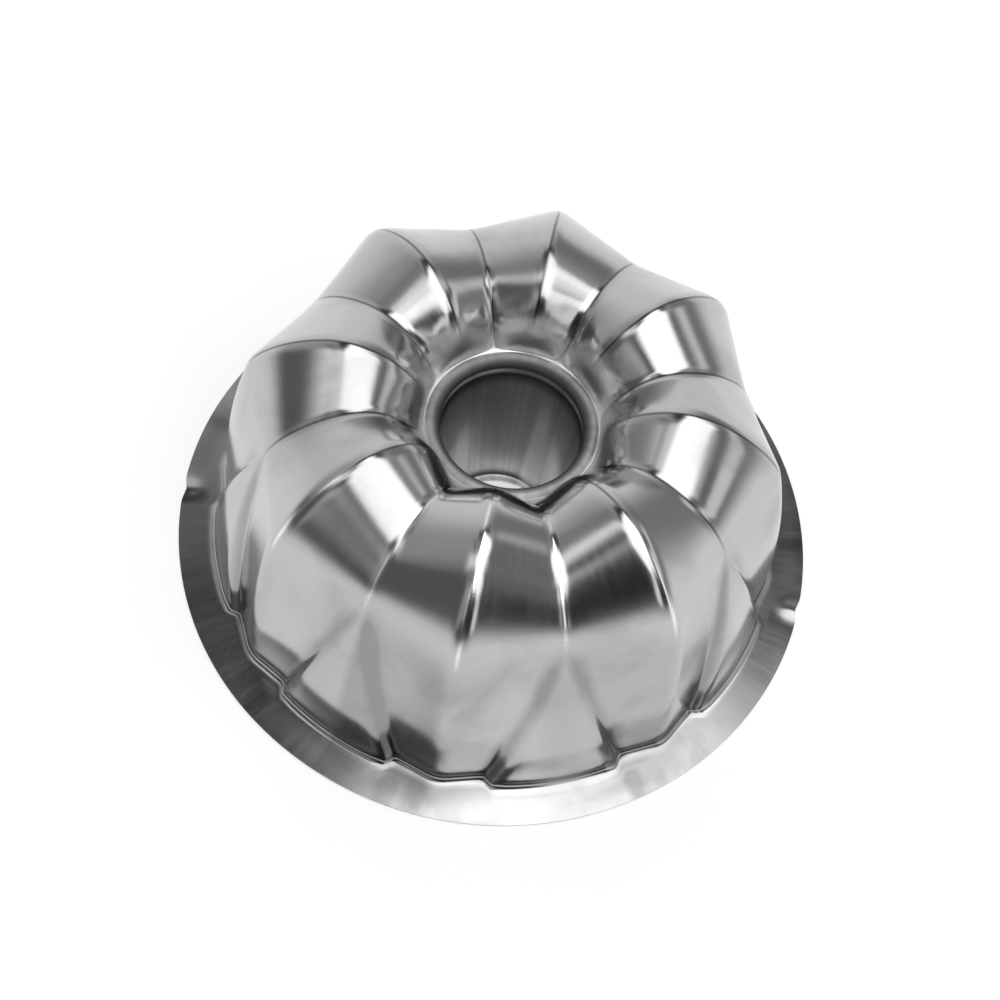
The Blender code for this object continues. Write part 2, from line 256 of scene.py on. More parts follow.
def bezier(handles, share):
    """Point on a cubic curve through its first and last handle."""
    rest = 1 - share
    weights = (rest ** 3, 3 * rest ** 2 * share, 3 * rest * share ** 2, share ** 3)
    return (sum(weight * point[0] for weight, point in zip(weights, handles)),
            sum(weight * point[1] for weight, point in zip(weights, handles)))


def ridge_inner_turn(sizes, share):
    """Ridge profile from its toe, which rises upright off the collar, to the level crest."""
    turn = share * math.pi / 2
    power = 2 / CREST_SQUARENESS
    radius = mix(sizes.ridge_crest_radius, sizes.toe_radius, max(math.cos(turn), 0.0) ** power)
    height = mix(sizes.collar_height, sizes.ridge_crest_height, math.sin(turn) ** power)
    return radius, height


def groove_inner_turn(sizes, share):
    """Groove profile from the valley beside the collar, up its slope, to the level crest."""
    start = (sizes.valley_radius, sizes.collar_height + sizes.valley_rise)
    crest = (sizes.groove_crest_radius, sizes.groove_crest_height)
    slope = (start[0] + sizes.valley_ease * math.cos(sizes.valley_slope),
             start[1] + sizes.valley_ease * math.sin(sizes.valley_slope))
    return bezier((start, slope, (crest[0] - sizes.groove_inner_ease, crest[1]), crest), share)


def outer_turn(crest, shoulder, foot_radius, swell, crest_ease, shoulder_ease, share):
    """Crown profile from the level crest to the shoulder, where it takes the wall's slope."""
    fall = shoulder[1]
    spread = foot_radius - shoulder[0] + 4 * swell
    slant = math.hypot(fall, spread)
    handles = (
        crest,
        (crest[0] + crest_ease, crest[1]),
        (shoulder[0] - shoulder_ease * spread / slant, shoulder[1] + shoulder_ease * fall / slant),
        shoulder,
    )
    return bezier(handles, share)


def wall_radius(sizes, shoulder_radius, foot_radius, swell, height):
    """Radius of a drafted wall that swells in a parabola between the shoulder and the foot."""
    share = height / sizes.shoulder_height
    return mix(foot_radius, shoulder_radius, share) + 4 * swell * share * (1 - share)


def rounded(share, reach):
    """Distance from a crease as a share of the face, with the crease rounded over reach."""
    if share >= reach:
        return share
    return share * share / (2 * reach) + reach / 2


def flute_point(sizes, ridge, groove, angle, roundness=0.0):
    """Radius and height of the fluted skin at an angle from the ridge."""
    ridge_radius, ridge_height = ridge
    groove_radius, groove_height = groove
    near = ridge_radius * math.sin(angle)
    far = groove_radius * math.sin(HALF_FLUTE - angle)
    share = near / (near + far)
    along = mix(ridge_radius, groove_radius * math.cos(HALF_FLUTE), share)
    across = share * groove_radius * math.sin(HALF_FLUTE)
    radius = along * math.cos(angle) + across * math.sin(angle)
    outline = (angle / HALF_FLUTE) ** TOE_FULLNESS
    radius = mix(radius, mix(ridge_radius, groove_radius, outline), roundness)
    height = mix(ridge_height, groove_height, mix(share, outline, roundness))
    width = math.hypot(ridge_radius - groove_radius * math.cos(HALF_FLUTE),
                       groove_radius * math.sin(HALF_FLUTE), ridge_height - groove_height)
    groove_rounding = mix(sizes.groove_rounding, sizes.groove_end_rounding, roundness)
    ridge_push = rounded(share, min(sizes.ridge_rounding / width, ROUNDING_LIMIT)) - share
    groove_push = rounded(1 - share, min(groove_rounding / width, ROUNDING_LIMIT)) - (1 - share)
    flatness = 1 - roundness
    radius += flatness * ridge_push * (groove_radius * math.cos(HALF_FLUTE) - ridge_radius)
    radius += flatness * groove_push * (ridge_radius * math.cos(HALF_FLUTE) - groove_radius)
    height += flatness * (ridge_push - groove_push) * (groove_height - ridge_height)
    return radius, height


def panel_half_angle(sizes, height):
    """Half the angle that a gusset panel takes at a height, none at its tip."""
    foot_half_angle = math.asin(sizes.panel_half_width / sizes.panel_foot_radius)
    return foot_half_angle * max(0.0, 1 - height / sizes.shoulder_height)


def panel_radius(sizes, height, from_groove):
    """Radius of a gusset panel, which is round across and falls away beyond its two sides."""
    radius = wall_radius(sizes, sizes.groove_shoulder_radius, sizes.panel_foot_radius,
                         sizes.panel_swell, height)
    beyond = from_groove - panel_half_angle(sizes, height)
    soft = PANEL_EDGE_BLEND / radius
    beyond = (beyond + math.sqrt(beyond * beyond + soft * soft)) / 2
    return radius * (1 - PANEL_SIDE_SLOPE * beyond)


def wall_point(sizes, ridge, groove, angle):
    """Radius and height of the wall: the flutes, with the gusset panels standing out of them."""
    radius, height = flute_point(sizes, ridge, groove, angle)
    gap = panel_radius(sizes, height, HALF_FLUTE - angle) - radius
    lift = (gap + math.sqrt(gap * gap + PANEL_EDGE_BLEND * PANEL_EDGE_BLEND)) / 2
    return radius + lift, height


def seam_angle(sizes, ridge, groove):
    """Angle from the ridge at which a panel's sloping side meets the flute's face."""
    height = groove[1]
    low = 0.0
    high = HALF_FLUTE - panel_half_angle(sizes, height)
    for _ in range(SEAM_SEARCH_STEPS):
        middle = (low + high) / 2
        face = flute_point(sizes, ridge, groove, middle)[0]
        if panel_radius(sizes, height, HALF_FLUTE - middle) > face:
            high = middle
        else:
            low = middle
    return high


def spaced(stops, counts):
    """Angles from the first stop to the last, with each stretch shared out evenly."""
    angles = [stops[0]]
    for start, end, steps in zip(stops, stops[1:], counts):
        angles += [mix(start, end, step / steps) for step in range(1, steps + 1)]
    return angles


def column_angles(sizes, ridge, groove, on_wall):
    """Angles of one row's points, close together at the creases and at a panel's side."""
    crease = min(1.6 * sizes.ridge_rounding / ridge[0], 0.3 * HALF_FLUTE)
    side = min(1.6 * sizes.groove_rounding / groove[0], 0.3 * HALF_FLUTE)
    edge = HALF_FLUTE - side / 2
    seam = HALF_FLUTE - side
    if on_wall:
        edge = HALF_FLUTE - max(side / 2, panel_half_angle(sizes, groove[1]))
        seam = min(edge - side / 2, seam_angle(sizes, ridge, groove))
    counts = (CREASE_COLUMNS, FACE_COLUMNS, SIDE_COLUMNS, PANEL_COLUMNS)
    return spaced((0.0, crease, seam, edge, HALF_FLUTE), counts)


def half_flute_rows(sizes):
    """Rows of (angle, radius, height) of half a flute, from the collar's hole to the rim."""
    ridge_crest = (sizes.ridge_crest_radius, sizes.ridge_crest_height)
    groove_crest = (sizes.groove_crest_radius, sizes.groove_crest_height)
    ridge_shoulder = (sizes.ridge_shoulder_radius, sizes.shoulder_height)
    groove_shoulder = (sizes.groove_shoulder_radius, sizes.shoulder_height)
    rows = []
    for step in range(sizes.inner_rows):
        share = step / sizes.inner_rows
        ridge = ridge_inner_turn(sizes, share)
        groove = groove_inner_turn(sizes, share)
        roundness = (1 - share) ** TOE_BLEND
        angles = column_angles(sizes, ridge, groove, False)
        rows.append([(at, *flute_point(sizes, ridge, groove, at, roundness)) for at in angles])
    for step in range(sizes.crown_rows):
        share = step / sizes.crown_rows
        ridge = outer_turn(ridge_crest, ridge_shoulder, sizes.ridge_foot_radius, sizes.wall_swell,
                           sizes.ridge_crest_ease, sizes.ridge_shoulder_ease, share)
        groove = outer_turn(groove_crest, groove_shoulder, sizes.panel_foot_radius, sizes.panel_swell,
                            sizes.groove_crest_ease, sizes.groove_shoulder_ease, share)
        angles = column_angles(sizes, ridge, groove, False)
        rows.append([(at, *flute_point(sizes, ridge, groove, at)) for at in angles])
    for step in range(sizes.wall_rows + 1):
        height = mix(sizes.shoulder_height, sizes.sheet + sizes.foot_fillet, step / sizes.wall_rows)
        ridge = (wall_radius(sizes, sizes.ridge_shoulder_radius, sizes.ridge_foot_radius,
                             sizes.wall_swell, height), height)
        groove = (wall_radius(sizes, sizes.groove_shoulder_radius, sizes.groove_foot_radius,
                              sizes.wall_swell, height), height)
        angles = column_angles(sizes, ridge, groove, True)
        rows.append([(at, *wall_point(sizes, ridge, groove, at)) for at in angles])
    return collar_rows(sizes, rows[0]) + rows + foot_rows(sizes, rows[-1])


def flare_height(shell, tube):
    """Height of the centre of the lip's flare, with the brim just clear of the collar."""
    return shell.collar_height + shell.seam_clearance + tube.sheet / 2 - tube.flare_bend


def collar_rows(sizes, first_row):
    """Rows from the collar's edge, curled down under the tube's flare, out to the toes' outline."""
    tube = bpy.context.scene.cakepan_tube
    curl = tube.flare_bend - tube.sheet / 2 - sizes.seam_clearance
    rows = []
    for step in range(CURL_ROWS + 1):
        lean = mix(sizes.collar_curl, 0.0, step / CURL_ROWS)
        radius = tube.flare_radius - curl * math.sin(lean)
        height = flare_height(sizes, tube) + curl * math.cos(lean)
        rows.append([(at, radius, height) for at, _, _ in first_row])
    flat = rows[-1]
    for step in range(1, COLLAR_ROWS):
        share = step / COLLAR_ROWS
        rows.append([(at, mix(start, radius, share), mix(level, height, share * share))
                     for (at, start, level), (_, radius, height) in zip(flat, first_row)])
    return rows


def foot_rows(sizes, last_row):
    """Rows that turn the wall out through its fillet and run over the flange to the rim."""
    draft = math.atan2(sizes.ridge_foot_radius - sizes.ridge_shoulder_radius - 4 * sizes.wall_swell,
                       sizes.shoulder_height)
    rows = []
    for step in range(1, FILLET_ROWS + 1):
        turn = mix(draft, math.pi / 2, step / FILLET_ROWS)
        out = sizes.foot_fillet * (math.cos(draft) - math.cos(turn))
        height = sizes.sheet + sizes.foot_fillet * (1 - math.sin(turn))
        rows.append([(at, radius + out, height) for at, radius, _ in last_row])
    inner = rows[-1]
    for step in range(1, FLANGE_ROWS + 1):
        share = step / FLANGE_ROWS
        rows.append([(at, mix(radius, sizes.rim_radius, share), sizes.sheet)
                     for at, radius, _ in inner])
    return rows


# Working by operators

def select_nothing():
    if bpy.context.mode != "OBJECT":
        bpy.ops.object.mode_set(mode="OBJECT")
    bpy.ops.object.select_all(action="DESELECT")


def work_on(piece):
    """Makes a piece the only selected and active object."""
    select_nothing()
    piece.select_set(True)
    bpy.context.view_layer.objects.active = piece


def edit_all(piece):
    work_on(piece)
    bpy.ops.object.mode_set(mode="EDIT")
    bpy.ops.mesh.select_all(action="SELECT")


def end_edit():
    bpy.ops.object.mode_set(mode="OBJECT")


def bake_place(piece):
    """Puts a piece's object at the origin and keeps its place in its mesh."""
    work_on(piece)
    bpy.ops.object.transform_apply(location=True, rotation=True, scale=True)


# Finishes

# Middle of the flute's section, round which the metal was pressed
SECTION_RADIUS = 0.055
SECTION_HEIGHT = 0.040

# Half widths of the painted shade line along a crease and of the pressed edge beside it, which also
# carries a painted highlight at the front
CREASE_SHADE_WIDTH = 0.0008
EDGE_WIDTH = 0.0011

# Heights and radii over which the creases' lines come in on the crown
CREASE_HEIGHTS = (0.063, 0.075)
CREASE_RADII = (0.030, 0.034)

# Distances to the back over which the creases change from painted highlights to painted shade lines
CREASE_HIGHLIGHT_TO_SHADE = (-0.052, -0.034)

# Depths of the creases' edges and of the draw lines, as shares of the ripples' depth
EDGE_DEPTH = 4.0
LINE_DEPTH = 0.06

# Heights over which the wall's streaks run out on the crown
WALL_TOP = (0.058, 0.074)

# A painted shade streak down one wall facet: degrees round the pan, and its half width
WALL_SHADE_PLACE = -101.5
WALL_SHADE_HALF_WIDTH = 11.5

# How much scuffs and draw streaks dull the shell, and how dark the painted shade streak on the wall makes
# it
SCUFF_DULLNESS = 0.35
DRAWN_DULLNESS = 0.35
WALL_SHADE_DARKNESS = 0.5

# Radii over which the painted highlight round the mouth, and the mouth's roughness, run out
MOUTH_HIGHLIGHT_RADII = (0.0295, 0.0345)
ROUGH_MOUTH = (0.030, 0.036)

# The painted reflection streak inside the tube, which is also rougher: degrees round it, its half width at
# foot and at top
STREAK_PLACE = 64.0
STREAK_HALF_WIDTH = (15.0, 7.0)
STREAK_TOP = (0.035, 0.058)

# Heights over which the painted shade inside the flare comes in, and radii over which it runs out
FLARE_SHADE_HEIGHTS = (0.054, 0.0605)
FLARE_SHADE_RADII = (0.0242, 0.0272)

# Heights over which the tube turns rough towards its lip
ROUGH_LIP = (0.060, 0.0655)


class Nodes:
    """A node tree that is written from left to right."""

    def __init__(self, tree):
        self.tree = tree

    def add(self, kind, settings=(), **inputs):
        node = self.tree.nodes.new(kind)
        for name, value in dict(settings).items():
            setattr(node, name, value)
        for name, value in inputs.items():
            self.fill(node.inputs[name.replace("_", " ")], value)
        return node

    def fill(self, socket, value):
        if isinstance(value, bpy.types.NodeSocket):
            self.tree.links.new(value, socket)
        else:
            socket.default_value = value

    def math(self, operation, *values, clamp=False):
        node = self.add("ShaderNodeMath", {"operation": operation, "use_clamp": clamp})
        for socket, value in zip(node.inputs, values):
            self.fill(socket, value)
        return node.outputs["Value"]

    def plus(self, first, second):
        return self.math("ADD", first, second)

    def minus(self, first, second):
        return self.math("SUBTRACT", first, second)

    def times(self, first, second):
        return self.math("MULTIPLY", first, second)

    def noise(self, vector, scale, detail=4.0, roughness=0.5, distortion=0.0):
        node = self.add("ShaderNodeTexNoise", Vector=vector, Scale=scale, Detail=detail,
                        Roughness=roughness, Distortion=distortion)
        return node.outputs["Fac"]

    def ranged(self, value, low, high, start=0.0, end=1.0):
        """A value between low and high, mapped onto start to end."""
        return self.map_range("LINEAR", value, low, high, start, end)

    def eased(self, value, low, high, start=0.0, end=1.0):
        """The same with a soft beginning and end."""
        return self.map_range("SMOOTHSTEP", value, low, high, start, end)

    def map_range(self, interpolation, value, low, high, start, end):
        node = self.add("ShaderNodeMapRange", {"interpolation_type": interpolation})
        for name, given in (("Value", value), ("From Min", low), ("From Max", high),
                            ("To Min", start), ("To Max", end)):
            self.fill(node.inputs[name], given)
        return node.outputs["Result"]

    def blend(self, share, first, second):
        """Mix of two colours, each a socket or red, green and blue."""
        node = self.add("ShaderNodeMix", {"data_type": "RGBA"})
        self.fill(node.inputs[0], share)
        for socket, value in ((node.inputs[6], first), (node.inputs[7], second)):
            self.fill(socket, value if isinstance(value, bpy.types.NodeSocket) else (*value, 1.0))
        return node.outputs[2]

    def blend_number(self, share, first, second):
        node = self.add("ShaderNodeMix", {"data_type": "FLOAT"})
        for socket, value in ((node.inputs[0], share), (node.inputs[2], first),
                              (node.inputs[3], second)):
            self.fill(socket, value)
        return node.outputs[0]


class PanPlace:
    """Where a shaded point lies: object coordinates, distances, and turn about the pan's axis."""

    def __init__(self, nodes):
        self.place = nodes.add("ShaderNodeTexCoord").outputs["Object"]
        x, y, self.height = nodes.add("ShaderNodeSeparateXYZ", Vector=self.place).outputs
        self.back = y
        self.radius = nodes.math("SQRT", nodes.plus(nodes.times(x, x), nodes.times(y, y)))
        self.turn = nodes.math("ARCTAN2", y, x)
        self.degrees = nodes.math("DEGREES", self.turn)


def new_material(name):
    material = bpy.data.materials.new(name)
    material.use_nodes = True
    nodes = Nodes(material.node_tree)
    material.node_tree.nodes.clear()
    return material, nodes


def profile_turn(nodes, spot):
    """How far round the flute's section a point lies, from the collar over the crest to the rim."""
    return nodes.math("ARCTAN2", nodes.minus(spot.height, SECTION_HEIGHT),
                      nodes.minus(spot.radius, SECTION_RADIUS))


def worked(nodes, turn, along, around_scale, along_scale):
    """Coordinates that stretch a pattern round the pan, or along the way the metal was drawn."""
    east = nodes.times(nodes.math("COSINE", turn), around_scale)
    north = nodes.times(nodes.math("SINE", turn), around_scale)
    up = nodes.times(along, along_scale)
    return nodes.add("ShaderNodeCombineXYZ", X=east, Y=north, Z=up).outputs["Vector"]


def degrees_off(nodes, spot, place):
    """Degrees between a point and a place on the pan's round."""
    return nodes.math("ABSOLUTE", nodes.minus(spot.degrees, place))


def crease_lines(nodes, spot, half_width):
    """Lines along the ridges and along the grooves of the crown, 1 in their middle."""
    from_ridge = nodes.math("PINGPONG", spot.turn, HALF_FLUTE)
    on_crown = nodes.times(nodes.eased(spot.height, *CREASE_HEIGHTS),
                           nodes.eased(spot.radius, *CREASE_RADII))
    lines = []
    for off in (from_ridge, nodes.minus(HALF_FLUTE, from_ridge)):
        line = nodes.eased(nodes.times(off, spot.radius), 0.0, half_width, 1.0, 0.0)
        lines.append(nodes.times(line, on_crown))
    return lines


def aluminium_shader(nodes, tone, rough, relief, depth):
    bump = nodes.add("ShaderNodeBump", Strength=1.0, Distance=depth, Height=relief)
    shader = nodes.add("ShaderNodeBsdfPrincipled", Metallic=1.0, Roughness=rough,
                       Base_Color=tone, Normal=bump.outputs["Normal"])
    out = nodes.add("ShaderNodeOutputMaterial")
    nodes.tree.links.new(shader.outputs["BSDF"], out.inputs["Surface"])


def shell_dullness_and_shade(nodes, finishes, spot, along, scuffs):
    """How dull the shell is from cloudy scuffs and streaks drawn down the wall, and where shade is painted
    on it: one streak down the wall and beside the gussets.
    """
    drawn = nodes.eased(nodes.noise(worked(nodes, spot.turn, along, 3.2, 0.5), 1.0, detail=1.0),
                        0.34, 0.66)
    # Painted shade: a dark streak down one wall facet
    wall_shade = nodes.eased(degrees_off(nodes, spot, WALL_SHADE_PLACE),
                              0.75 * WALL_SHADE_HALF_WIDTH, WALL_SHADE_HALF_WIDTH,
                              WALL_SHADE_DARKNESS, 0.0)
    streaks = nodes.plus(nodes.times(drawn, DRAWN_DULLNESS), wall_shade)
    on_wall = nodes.eased(spot.height, *WALL_TOP, 1.0, 0.0)
    # Painted shade beside the gussets' sides, from the stored mark
    side = nodes.add("ShaderNodeAttribute", {"attribute_name": SIDE_MARK}).outputs["Fac"]
    dulled_and_shaded = nodes.plus(nodes.times(scuffs, SCUFF_DULLNESS), nodes.times(streaks, on_wall))
    return nodes.math("ADD", dulled_and_shaded, nodes.times(side, finishes.gusset_shade), clamp=True)


def crease_tones(nodes, finishes, spot, tone, edges):
    """Paints shade lines along the creases at the back, and highlights along their edges at the front
    instead.
    """
    behind = nodes.eased(spot.back, *CREASE_HIGHLIGHT_TO_SHADE)
    # Painted shade lines along the creases at the back
    thin = nodes.math("MAXIMUM", *crease_lines(nodes, spot, CREASE_SHADE_WIDTH))
    crease_shade_mask = nodes.times(thin, nodes.times(finishes.crease_shade, behind))
    tone = nodes.blend(crease_shade_mask, tone, finishes.crease_shade_colour)
    # Painted highlights along the creases' edges at the front
    painted_highlight = nodes.times(nodes.math("MAXIMUM", *edges), nodes.minus(1.0, behind))
    return nodes.blend(painted_highlight, tone, finishes.painted_highlight)


def shell_aluminium(finishes):
    """Pressed bright sheet: ripples round the flutes, cloudy scuffs and fine draw lines; painted shade on
    the wall and along the creases at the back, painted highlights round the mouth and along the creases at
    the front.
    """
    material, nodes = new_material("shell_aluminium_pressed")
    spot = PanPlace(nodes)
    along = profile_turn(nodes, spot)
    ripples = nodes.noise(worked(nodes, spot.turn, along, 5.0, 26.0), 1.0, detail=3.0,
                          roughness=0.55)
    patches = nodes.eased(nodes.noise(spot.place, 20.0, detail=1.0), 0.40, 0.62, 0.25, 1.0)
    lines = nodes.noise(worked(nodes, spot.turn, along, 60.0, 6.0), 1.0, roughness=0.6)
    clouds = nodes.noise(spot.place, 34.0, roughness=0.55, distortion=0.4)
    scuffs = nodes.eased(clouds, 0.42, 0.68)
    edges = crease_lines(nodes, spot, EDGE_WIDTH)

    # Dull where scuffed or drawn, and painted shade on the wall and beside the gussets
    dulled_and_shaded = shell_dullness_and_shade(nodes, finishes, spot, along, scuffs)
    tone = nodes.blend(dulled_and_shaded, finishes.shell_colour, finishes.shell_dull_and_shade)
    # Painted highlight round the mouth
    tone = nodes.blend(nodes.eased(spot.radius, *MOUTH_HIGHLIGHT_RADII, 0.8, 0.0), tone, finishes.painted_highlight)
    tone = crease_tones(nodes, finishes, spot, tone, edges)

    rough = nodes.ranged(scuffs, 0.0, 1.0, finishes.shell_roughness,
                         finishes.shell_roughness + 0.04)
    rough = nodes.plus(rough, nodes.ranged(lines, 0.35, 0.7, -0.01, 0.02))
    rough = nodes.plus(rough, nodes.eased(spot.radius, *ROUGH_MOUTH, 0.20, 0.0))

    relief = nodes.plus(nodes.times(ripples, patches), nodes.times(lines, LINE_DEPTH))
    relief = nodes.plus(relief, nodes.times(nodes.minus(*edges), EDGE_DEPTH))
    aluminium_shader(nodes, tone, rough, relief, finishes.shell_ripple)
    return material


def tube_aluminium(finishes):
    """Duller drawn sheet, with soft streaks along the tube, painted shade inside the flare and a painted
    reflection streak inside the tube.
    """
    material, nodes = new_material("tube_aluminium_drawn")
    spot = PanPlace(nodes)
    streaks = nodes.noise(worked(nodes, spot.turn, spot.height, 9.0, 3.0), 1.0, detail=3.0)
    lines = nodes.noise(worked(nodes, spot.turn, spot.height, 70.0, 10.0), 1.0, detail=3.0,
                        roughness=0.6)
    drawn = nodes.eased(nodes.plus(nodes.times(streaks, 0.75), nodes.times(lines, 0.25)),
                        0.38, 0.62)
    # A painted reflection streak inside the tube, which is also made rougher
    half_width = nodes.ranged(spot.height, 0.0, 0.055, *STREAK_HALF_WIDTH)
    off = nodes.math("DIVIDE", degrees_off(nodes, spot, STREAK_PLACE), half_width)
    streak = nodes.times(nodes.eased(off, 0.35, 1.0, 1.0, 0.0),
                         nodes.eased(spot.height, *STREAK_TOP, 1.0, 0.0))
    # Painted shade inside the flare
    flare = nodes.times(nodes.eased(spot.height, *FLARE_SHADE_HEIGHTS),
                        nodes.eased(spot.radius, *FLARE_SHADE_RADII, 0.85, 0.0))

    tone = nodes.blend(drawn, finishes.tube_colour, finishes.tube_dull)
    tone = nodes.blend(flare, tone, finishes.flare_shade_colour)
    # Painted reflection streak inside the tube
    tone = nodes.blend(streak, tone, finishes.painted_highlight)

    rough = nodes.ranged(drawn, 0.0, 1.0, finishes.tube_roughness, finishes.tube_roughness + 0.05)
    rough = nodes.plus(rough, nodes.eased(spot.height, *ROUGH_LIP, 0.0, 0.24))
    rough = nodes.plus(rough, nodes.times(streak, 0.25))
    aluminium_shader(nodes, tone, rough, streaks, finishes.tube_ripple)
    return material


# The light tent: plain cloth with soft panels, each placed by degrees from straight overhead

# A scratch script fitted these panels to the grey values of the photo's pixels by least squares and
# wrote them here, apart from "lamp back" and "right dark". Nine of the fitted rows were then changed.
# Name, degrees right, degrees to the front, half width, half depth, turn, softness, brightness
PANELS = (
    ("back cloth", -20.4, -77.9, 72.6, 43.1, -0.4, 0.63, 0.92),
    ("back right dark", 50.2, -43.4, 43.7, 21.5, 20.3, 0.57, 0.27),
    ("left dark", -72.8, 33.4, 37.7, 34.0, 28.7, 0.25, 0.13),
    ("front dark", -8.2, 67.0, 44.8, 11.7, -11.8, 0.38, 0.09),
    ("front dark slant", 29.9, 27.2, 47.1, 34.0, -22.0, 0.30, 0.02),
    ("front right light", 37.3, 51.3, 6.8, 11.5, -14.2, 0.30, 1.15),
    ("right dark edge", 39.5, 32.8, 18.2, 4.9, -20.5, 0.35, 0.02),
    ("right far", 60.3, 7.2, 7.9, 46.0, -16.4, 0.22, 0.99),
    ("left spot", -22.0, 13.5, 21.0, 6.5, 3.0, 0.70, 1.25),
    ("front left spot", -14.9, 39.4, 11.0, 5.5, -1.5, 0.50, 0.60),
    ("left dark spot", -30.0, -2.0, 4.5, 12.0, -28.0, 0.60, 0.28),
    ("lamp rim", 2.4, -14.0, 22.5, 20.0, -17.8, 0.28, 0.03),
    ("lamp glow", 18.0, -2.7, 16.5, 12.6, 10.8, 0.42, 0.69),
    ("lamp right", 41.0, 12.4, 17.0, 5.0, -32.0, 0.45, 0.60),
    ("right dark", 48.0, 2.0, 5.5, 26.0, -4.0, 0.35, 0.17),
    ("lamp front", 17.7, 27.9, 9.9, 21.6, -76.0, 0.22, 2.00),
    ("lamp", 14.3, 3.4, 22.9, 23.6, 14.4, 0.16, 2.10),
    ("lamp back", 3.5, -17.5, 7.0, 6.5, 0.0, 0.25, 2.20),
)

# Degrees from straight overhead at which the tent starts to take the floor's brightness
HORIZON_START = 73.0


def panel_mask(nodes, spot, right, front, half_width, half_depth, turn, softness):
    """1 inside a soft-edged panel and 0 outside it."""
    inside = nodes.add("ShaderNodeMapping", {"vector_type": "TEXTURE"}, Vector=spot,
                       Location=(right, front, 0.0), Rotation=(0.0, 0.0, math.radians(turn)),
                       Scale=(half_width, half_depth, 1.0)).outputs["Vector"]
    across, along, _ = nodes.add("ShaderNodeSeparateXYZ", Vector=inside).outputs
    fourth = [nodes.math("POWER", nodes.math("ABSOLUTE", value), 4.0) for value in (across, along)]
    reach = nodes.math("POWER", nodes.plus(*fourth), 0.25)
    return nodes.eased(reach, 1 - softness, 1 + softness, 1.0, 0.0)


def tent_cloth(studio):
    """Glowing cloth, with its panels laid out in degrees from straight overhead."""
    material, nodes = new_material("tent_cloth")
    place = nodes.add("ShaderNodeTexCoord").outputs["Object"]
    up = nodes.add("ShaderNodeVectorMath", {"operation": "NORMALIZE"})
    nodes.fill(up.inputs[0], place)
    x, y, z = nodes.add("ShaderNodeSeparateXYZ", Vector=up.outputs["Vector"]).outputs
    from_top = nodes.math("DEGREES", nodes.math("ARCCOSINE", z))
    level = nodes.math("SQRT", nodes.minus(1.0001, nodes.times(z, z)))
    spread = nodes.math("DIVIDE", from_top, level)
    spot = nodes.add("ShaderNodeCombineXYZ", X=nodes.times(x, spread),
                     Y=nodes.times(nodes.times(y, -1.0), spread)).outputs["Vector"]
    light = studio.tent_level
    for _, *panel, brightness in PANELS:
        light = nodes.blend_number(panel_mask(nodes, spot, *panel), light, brightness)
    low = nodes.eased(from_top, HORIZON_START, 90.0)
    light = nodes.blend_number(low, light, studio.tent_horizon)
    glow = nodes.add("ShaderNodeEmission", Strength=light)
    out = nodes.add("ShaderNodeOutputMaterial")
    nodes.tree.links.new(glow.outputs["Emission"], out.inputs["Surface"])
    return material


# Gap between the floor and the flange
FLOOR_GAP = 0.00005

# Radius inside which the pan covers the floor, and the part of it that the photo shows through the
# tube: its radius, and how far behind the pan's axis it starts
RIM_SHADOW = 0.1105
TUBE_OPENING = 0.017
SEEN_BEHIND = 0.009
LIFT_EDGE = 0.001


def seen_directly(nodes):
    """1 for what the camera, metal or glass sees, and 0 for the light that falls on things."""
    path = nodes.add("ShaderNodeLightPath").outputs
    straight = nodes.plus(path["Is Camera Ray"], path["Is Glossy Ray"])
    return nodes.math("ADD", straight, path["Is Transmission Ray"], clamp=True)


def floor_material(studio):
    """Pale matt floor, lifted to white where it is seen, but left in shadow under the pan."""
    material, nodes = new_material("pale_floor")
    spot = PanPlace(nodes)
    around = nodes.ranged(spot.radius, RIM_SHADOW, RIM_SHADOW + LIFT_EDGE)
    through_tube = nodes.times(
        nodes.ranged(spot.radius, TUBE_OPENING, TUBE_OPENING + LIFT_EDGE, 1.0, 0.0),
        nodes.ranged(spot.back, SEEN_BEHIND, SEEN_BEHIND + 2 * LIFT_EDGE))
    open_floor = nodes.math("ADD", around, through_tube, clamp=True)
    lift = nodes.times(nodes.times(seen_directly(nodes), open_floor), studio.floor_lift)
    shader = nodes.add("ShaderNodeBsdfPrincipled", Roughness=0.9, Emission_Strength=lift)
    shader.inputs["Base Color"].default_value = (*studio.floor_colour, 1.0)
    shader.inputs["Emission Color"].default_value = (1.0, 1.0, 1.0, 1.0)
    shader.inputs["Specular IOR Level"].default_value = 0.0
    out = nodes.add("ShaderNodeOutputMaterial")
    nodes.tree.links.new(shader.outputs["BSDF"], out.inputs["Surface"])
    return material


# Operators

